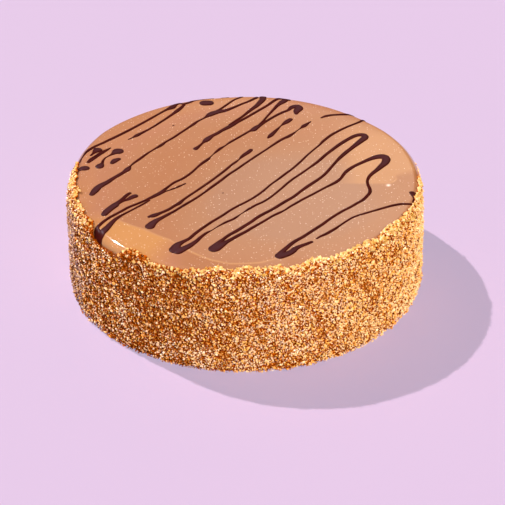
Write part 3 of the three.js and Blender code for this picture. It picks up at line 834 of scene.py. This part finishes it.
# The crumbs. Baked and toasted cake crumbs from dust to lumps are pressed on by hand, all over the
# side. The pale ones are plain sponge, the golden ones are caramelised, and the brown ones burnt.
# Each kind is one joined piece of separate angular grains.
MEAN_LINE = 70.0
HIGHEST_CRUMB = 77.0
FOOT_GAP = 0.02
FOOT_SHARE = 0.45
RIM_FADE = 3.0
RIM_SINK = 0.3

# How far a grain's corners are knocked in and out, how far it is squashed or stretched, and by what
# power the small grains outnumber the large ones
KNOCKED = (0.5, 1.35)
SQUASHED = (0.5, 1.3)
SMALLER_MORE = 2.2

# The looks of a grain. The less proud it stands, the darker and redder it is: partly caramel
# soaked in, partly painted shade deep between the grains.
GRAIN_GLOSS = 0.34
GRAIN_SHINE = 0.85
FLECK_SCALE = 1400.0
FLECK_EDGE = (0.50, 0.72)
SOAKED_SHADE_EDGE = (-0.42, 0.02)
STEEPED_SHADE_EDGE = (-1.25, -0.55)
TOASTED = (0.55, 0.18, 0.016)
SOAKED_SHADE = (0.36, 0.062, 0.0012)
STEEPED_SHADE = (0.08, 0.010, 0.0010)

# How far the darker, redder tone has crept up the crumbs, partly as caramel and partly as painted
# shade: on the wall and the rim where they lie thin, on the rim everywhere, and at the foot of the
# cake, where it is painted shade
CREPT_WALL = 0.25
CREPT_RIM = 0.29
CREPT_THIN_RIM = 0.28
FOOT_SHADE = 0.35
FOOT_SHADE_HEIGHT = 7.0
RIM_RISE = (60.0, 5.0)

# An angular grain has the corners of a double pyramid, and a lump those of a twenty-sided ball
GRAIN_CORNERS = np.array([(1, 0, 0), (-1, 0, 0), (0, 1, 0), (0, -1, 0), (0, 0, 1), (0, 0, -1)], float)
GRAIN_FACES = np.array([(0, 2, 4), (2, 1, 4), (1, 3, 4), (3, 0, 4),
                        (2, 0, 5), (1, 2, 5), (3, 1, 5), (0, 3, 5)])
PHI = (1 + math.sqrt(5)) / 2
LUMP_FOUR = [(-1, PHI, 0), (1, PHI, 0), (-1, -PHI, 0), (1, -PHI, 0)]
LUMP_CORNERS = np.concatenate([np.roll(LUMP_FOUR, side, axis=1) for side in range(3)]) / math.hypot(1, PHI)
LUMP_FACES = np.array([(0, 11, 5), (0, 5, 1), (0, 1, 7), (0, 7, 10), (0, 10, 11), (1, 5, 9),
                       (5, 11, 4), (11, 10, 2), (10, 7, 6), (7, 1, 8), (3, 9, 4), (3, 4, 2),
                       (3, 2, 6), (3, 6, 8), (3, 8, 9), (4, 9, 5), (2, 4, 11), (6, 2, 10),
                       (8, 6, 7), (9, 8, 1)])

# Each kind: name, how many, seed, smallest and largest grain, how far out it lies, which patches it
# prefers, from -1 for the amber ones to 1 for the pale ones, its two colours, and its toasted share
GRAIN_KINDS = (
    ("brown_crumbs", 19000, 101, (0.8, 1.5), (-0.7, 0.35), -1.0,
     (0.44, 0.075, 0.004), (0.20, 0.022, 0.001), 0.5),
    ("amber_crumbs", 20000, 107, (1.0, 1.8), (-0.8, 0.2), -1.0,
     (0.80, 0.27, 0.022), (0.54, 0.12, 0.004), 0.4),
    ("golden_crumbs", 25500, 102, (0.9, 1.8), (-0.7, 0.35), 0.0,
     (0.94, 0.52, 0.13), (0.88, 0.38, 0.045), 0.3),
    ("pale_crumbs", 38000, 103, (0.8, 1.8), (-0.3, 0.60), 1.0,
     (0.98, 0.70, 0.43), (0.96, 0.56, 0.25), 0.2),
    ("fine_crumbs", 18000, 104, (0.5, 1.0), (-0.30, 0.80), 0.3,
     (0.97, 0.68, 0.40), (0.62, 0.20, 0.02), 0.3),
)

# The patches are random hills too. They thin out a kind or let more of it lie, and where the
# crumbs lie thin there are fewer pale ones, which partly paints the shade there.
PATCH_HILLS = ((1.1, 2.2, 13), (0.8, 4.5, 11), (0.7, 13.0, 12), (0.6, 28.0, 14))
PATCH_LOSS = 0.4
PATCH_PULL = 0.6
THIN_SHADE_PULL = 0.35


def spread_over_coat(count, seed):
    """Turns and rises of about that many grains, evenly but irregularly spread up to the line."""
    draw = np.random.default_rng(seed)
    cell = math.sqrt(2 * math.pi * COAT_RADIUS * MEAN_LINE / count)
    columns, rows = int(2 * math.pi * COAT_RADIUS / cell), int(HIGHEST_CRUMB / cell)
    column, row = np.meshgrid(np.arange(columns), np.arange(rows))
    turn = (column.ravel() + draw.uniform(0, 1, column.size)) * 2 * math.pi / columns
    rise = (row.ravel() + draw.uniform(0, 1, row.size)) * cell
    kept = rise < crumb_line(turn)
    return turn[kept], rise[kept], draw


def crept_up_and_shaded(turn, rise):
    """How far out from the bed the crumbs are darker and redder: soaked with caramel, and painted in
    shade.
    """
    rim = fade_in(rise, *RIM_RISE)
    wall = CREPT_WALL * thinly_and_shaded(turn) * (1 - rim)
    edge = (CREPT_RIM + CREPT_THIN_RIM * thinly_and_shaded(turn)) * rim
    return wall + edge + FOOT_SHADE * np.clip(1 - rise / FOOT_SHADE_HEIGHT, 0.0, 1.0)


def turned(shape, spin):
    """Corners turned by random quaternions."""
    spin = (spin / np.linalg.norm(spin, axis=1)[:, None])[:, None]
    sideways = np.cross(spin[..., 1:], shape)
    return shape + 2 * (spin[..., :1] * sideways + np.cross(spin[..., 1:], sideways))


def make_grains(name, turn, rise, lift, sizes, corners, faces, draw, material):
    """One joined piece of grains of the given sizes on the coat, each turned and knocked about.

    Its points carry how proud they stand of the caramel that the crumbs are soaked with, which also
    sets their painted shade.
    """
    count = len(turn)
    places = coat_skin(turn, rise, lift)
    places[:, 2] = np.maximum(places[:, 2], sizes * FOOT_SHARE)
    shape = corners[None] * draw.uniform(*KNOCKED, (count, len(corners), 1))
    shape = shape * draw.uniform(*SQUASHED, (count, 1, 3)) * (sizes / 2)[:, None, None]
    offsets = turned(shape, draw.normal(size=(count, 4)))
    outward = coat_skin(turn, rise, lift + 1.0) - coat_skin(turn, rise, lift)
    ground = hills(turn, rise, CLUMP_HILLS) * fade_in(rise, crumb_line(turn), -RIM_FADE)
    proud = (lift - ground - crept_up_and_shaded(turn, rise))[:, None] + np.einsum("nki,ni->nk", offsets, outward)
    points = (offsets + places[:, None]).reshape(-1, 3)
    points[:, 2] = np.maximum(points[:, 2], FOOT_GAP)
    starts = np.arange(count)[:, None, None] * len(corners)
    piece = make_piece(name, points, (faces[None] + starts).reshape(-1, 3).tolist(), material, False)
    carry(piece, "proud", proud.ravel())


def grain_tone_group():
    """A shader group for a grain: its own tone between two, toasted flecks, and a darker foot that is
    partly soaked caramel and partly painted shade.
    """
    group = bpy.data.node_groups.new("grain_tone", "ShaderNodeTree")
    for name, kind in (("Pale", "NodeSocketColor"), ("Deep", "NodeSocketColor"),
                       ("Toasted", "NodeSocketColor"), ("Toasting", "NodeSocketFloat"),
                       ("Soaked_Shade", "NodeSocketColor"), ("Steeped_Shade", "NodeSocketColor")):
        group.interface.new_socket(name, in_out="INPUT", socket_type=kind)
    group.interface.new_socket("Color", in_out="OUTPUT", socket_type="NodeSocketColor")
    group.interface.new_socket("Dry_Unshaded", in_out="OUTPUT", socket_type="NodeSocketFloat")
    given = group.nodes.new("NodeGroupInput").outputs
    own = group.nodes.new("ShaderNodeNewGeometry").outputs["Random Per Island"]
    tone = blend(group, own, given["Pale"], given["Deep"])
    flecks = share_between(group, place_noise(group, FLECK_SCALE), *FLECK_EDGE)
    tone = blend(group, sum_of(group, "MULTIPLY", flecks, given["Toasting"]), tone, given["Toasted"])
    # the foot of a grain has drunk caramel from the bed and is also painted in shade, and the deepest
    # are painted darkest
    proud = carried_value(group, "proud")
    dry_unshaded = share_between(group, proud, *SOAKED_SHADE_EDGE)
    tone = blend(group, dry_unshaded, given["Soaked_Shade"], tone)
    tone = blend(group, share_between(group, proud, *STEEPED_SHADE_EDGE), given["Steeped_Shade"], tone)
    feed(group, group.nodes.new("NodeGroupOutput"), {"Color": tone, "Dry_Unshaded": dry_unshaded})
    return group


grain_tone = grain_tone_group()


def grain_material(name, pale, deep, toasting, roughness):
    material, tree, shader = new_material(name)
    grain = tree.nodes.new("ShaderNodeGroup")
    grain.node_tree = grain_tone
    feed(tree, grain, {"Pale": pale, "Deep": deep, "Toasted": TOASTED, "Toasting": toasting,
                       "Soaked_Shade": SOAKED_SHADE, "Steeped_Shade": STEEPED_SHADE})
    # only the part that is neither soaked nor painted in shade shines, as the soaked foot is dull
    feed(tree, shader, {
        "Base Color": grain.outputs["Color"],
        "Roughness": 0.8,
        "Specular IOR Level": 0.0,
        "Coat Roughness": roughness,
        "Coat Weight": sum_of(tree, "MULTIPLY", grain.outputs["Dry_Unshaded"], GRAIN_SHINE),
    })
    return material


for name, count, seed, (smallest, largest), lies, patch, pale, deep, toasting in GRAIN_KINDS:
    turn, rise, draw = spread_over_coat(count, seed)
    pull = hills(turn, rise, PATCH_HILLS) - THIN_SHADE_PULL * thinly_and_shaded(turn)
    chance = 1 - abs(patch) * PATCH_LOSS + patch * PATCH_PULL * pull
    kept = draw.uniform(0, 1, len(turn)) < chance
    turn, rise = turn[kept], rise[kept]
    sizes = smallest + (largest - smallest) * draw.uniform(0, 1, len(turn)) ** SMALLER_MORE
    lift = hills(turn, rise, CLUMP_HILLS) + draw.uniform(*lies, len(turn))
    edge = fade_in(rise, crumb_line(turn), -RIM_FADE)
    lift = np.where(rise > WALL_TOP, lift * edge - RIM_SINK * (1 - edge), lift)
    make_grains(name, turn, rise, lift, sizes, GRAIN_CORNERS, GRAIN_FACES, draw,
                grain_material(name, pale, deep, toasting, GRAIN_GLOSS))

# The lumps. Some crumbs stuck together before they were pressed on, all over the side and most of
# all along the glaze, where creamy yellow lumps lie in a row on the edge.
COAT_LUMPS = 2600
COAT_LUMP_SEED = 105
COAT_LUMP_SIZES = (1.4, 2.3)
COAT_LUMP_LIES = (-0.4, 0.35)
COAT_LUMP_TONES = ((0.96, 0.64, 0.34), (0.84, 0.36, 0.07))
EDGE_LUMPS = 2400
EDGE_LUMP_SEED = 106
EDGE_LUMP_SIZES = (1.2, 2.7)
EDGE_LUMP_LIES = (-0.5, 0.35)
EDGE_LUMP_TONES = ((0.74, 0.52, 0.20), (0.46, 0.22, 0.03))

# The edge lumps lie in a band below the crumbs' line, thickest at its top, where that line is high
EDGE_LUMP_START = 0.3
EDGE_LUMP_BAND = 7.0
EDGE_LUMP_CROWDING = 1.6
EDGE_LUMP_LINE = 66.0

turn, rise, draw = spread_over_coat(COAT_LUMPS, COAT_LUMP_SEED)
sizes = draw.uniform(*COAT_LUMP_SIZES, len(turn))
lift = hills(turn, rise, CLUMP_HILLS) + draw.uniform(*COAT_LUMP_LIES, len(turn))
make_grains("coat_lumps", turn, rise, lift, sizes, LUMP_CORNERS, LUMP_FACES, draw,
            grain_material("coat_lumps", *COAT_LUMP_TONES, toasting=0.4, roughness=0.6))

draw = np.random.default_rng(EDGE_LUMP_SEED)
turn = draw.uniform(0, 2 * math.pi, EDGE_LUMPS)
line = crumb_line(turn)
below = EDGE_LUMP_START + draw.uniform(0, 1, EDGE_LUMPS) ** EDGE_LUMP_CROWDING * EDGE_LUMP_BAND
kept = line > EDGE_LUMP_LINE
turn, rise = turn[kept], (line - below)[kept]
sizes = draw.uniform(*EDGE_LUMP_SIZES, len(turn))
lift = draw.uniform(*EDGE_LUMP_LIES, len(turn))
make_grains("edge_lumps", turn, rise, lift, sizes, LUMP_CORNERS, LUMP_FACES, draw,
            grain_material("edge_lumps", *EDGE_LUMP_TONES, toasting=0.5, roughness=0.4))

# The floor. A seamless sheet of pale lilac paper, matt and very nearly one colour all over. The
# cake takes no colour from it.
FLOOR_CORNERS = ((-12.0, -12.0, 0.0), (12.0, -12.0, 0.0), (12.0, 12.0, 0.0), (-12.0, 12.0, 0.0))
LILAC_TONES = ((0.3, (0.815, 0.604, 0.831)), (0.7, (0.818, 0.607, 0.834)))

paper, paper_tree, paper_shader = new_material("lilac_floor")
feed(paper_tree, paper_shader, {
    "Base Color": tone_at(paper_tree, place_noise(paper_tree, 3.0), LILAC_TONES),
    "Roughness": 1.0,
    "Specular IOR Level": 0.0,
})
floor_mesh = bpy.data.meshes.new("floor_sheet")
floor_mesh.from_pydata(FLOOR_CORNERS, [], [(0, 1, 2, 3)])
floor_mesh.materials.append(paper)
floor = bpy.data.objects.new("floor_sheet", floor_mesh)
bpy.context.scene.collection.objects.link(floor)
floor.visible_diffuse = False

# The lamps. A hard one behind on the left, a softer one in front, a yellowish one at the right and
# two at the left, the second of them blue, light the cake alone. The last two light the sheet
# alone. Each has a turn and a height in degrees, a strength, a width in degrees and a colour.
cake_pieces = bpy.data.collections.new("cake_pieces")
for item in bpy.context.scene.objects:
    if item.type == "MESH" and item is not floor:
        cake_pieces.objects.link(item)
sheet_only = bpy.data.collections.new("sheet_only")
sheet_only.objects.link(floor)


def seen_at(turn, height):
    """The way from the cake towards a turn and a height in degrees."""
    a, b = math.radians(turn), math.radians(height)
    return Vector((math.cos(a) * math.cos(b), math.sin(a) * math.cos(b), math.sin(b)))


def far_lamp(name, turn, height, strength, width, colour, lit):
    """A lamp far away, seen from the cake at a turn and a height in degrees."""
    lamp = bpy.data.lights.new(name, "SUN")
    lamp.energy = strength
    lamp.angle = math.radians(width)
    lamp.color = colour
    holder = bpy.data.objects.new(name, lamp)
    towards = seen_at(turn, height)
    holder.rotation_mode = "QUATERNION"
    holder.rotation_quaternion = towards.to_track_quat("Z", "Y")
    holder.location = towards
    bpy.context.scene.collection.objects.link(holder)
    holder.light_linking.receiver_collection = lit
    return holder


far_lamp("key_lamp", 138.0, 49.0, 4.20, 1.0, (0.95, 0.98, 1.12), cake_pieces)
far_lamp("right_lamp", -18.0, 30.0, 0.95, 8.0, (1.0, 1.03, 0.65), cake_pieces)
# the glaze doesn't mirror the two at the left
left_lamp = far_lamp("left_lamp", 175.0, 25.0, 1.30, 8.0, (0.96, 1.07, 1.00), cake_pieces)
left_lamp.visible_glossy = False
cool_lamp = far_lamp("cool_lamp", 213.0, 20.0, 1.0, 8.0, (0.02, 0.40, 2.30), cake_pieces)
cool_lamp.visible_glossy = False
far_lamp("front_lamp", -70.0, 40.0, 4.75, 3.0, (1.0, 0.985, 0.87), cake_pieces)
far_lamp("shadow_lamp", 138.0, 49.0, 1.49, 1.0, (1.016, 0.92, 0.91), sheet_only)
sheet_lamp = far_lamp("sheet_lamp", 0.0, 90.0, 1.86, 1.0, (0.848, 1.079, 1.114), sheet_only)
# the cake's shadow comes from the lamp before it
sheet_lamp.data.use_shadow = False

# The room. It is dim and brown, with a soft glow behind the cake, a little right of its middle and
# about as high as the viewing place, which the glaze mirrors.
GLOW_TURN = 84.0
GLOW_HEIGHT = 33.2
GLOW_FADE = (9.5, 1.0)
ROOM_DARK = (0.12, 0.020, 0.003)
ROOM_GLOW = (1.60, 1.33, 1.05)

room = bpy.data.worlds.new("bright_room")
room.use_nodes = True
bpy.context.scene.world = room
room_tree = room.node_tree
ray = room_tree.nodes.new("ShaderNodeTexCoord").outputs["Generated"]
towards_glow = room_tree.nodes.new("ShaderNodeVectorMath")
towards_glow.operation = "DOT_PRODUCT"
feed(room_tree, towards_glow, {0: ray, 1: seen_at(GLOW_TURN, GLOW_HEIGHT)})
from_glow = sum_of(room_tree, "ARCCOSINE", towards_glow.outputs["Value"])
glow = share_between(room_tree, from_glow, *np.radians(GLOW_FADE), "SMOOTHSTEP")
room_light = blend(room_tree, glow, ROOM_DARK, ROOM_GLOW)
feed(room_tree, room_tree.nodes["Background"], {"Color": room_light})

bpy.context.scene.view_settings.view_transform = "Standard"
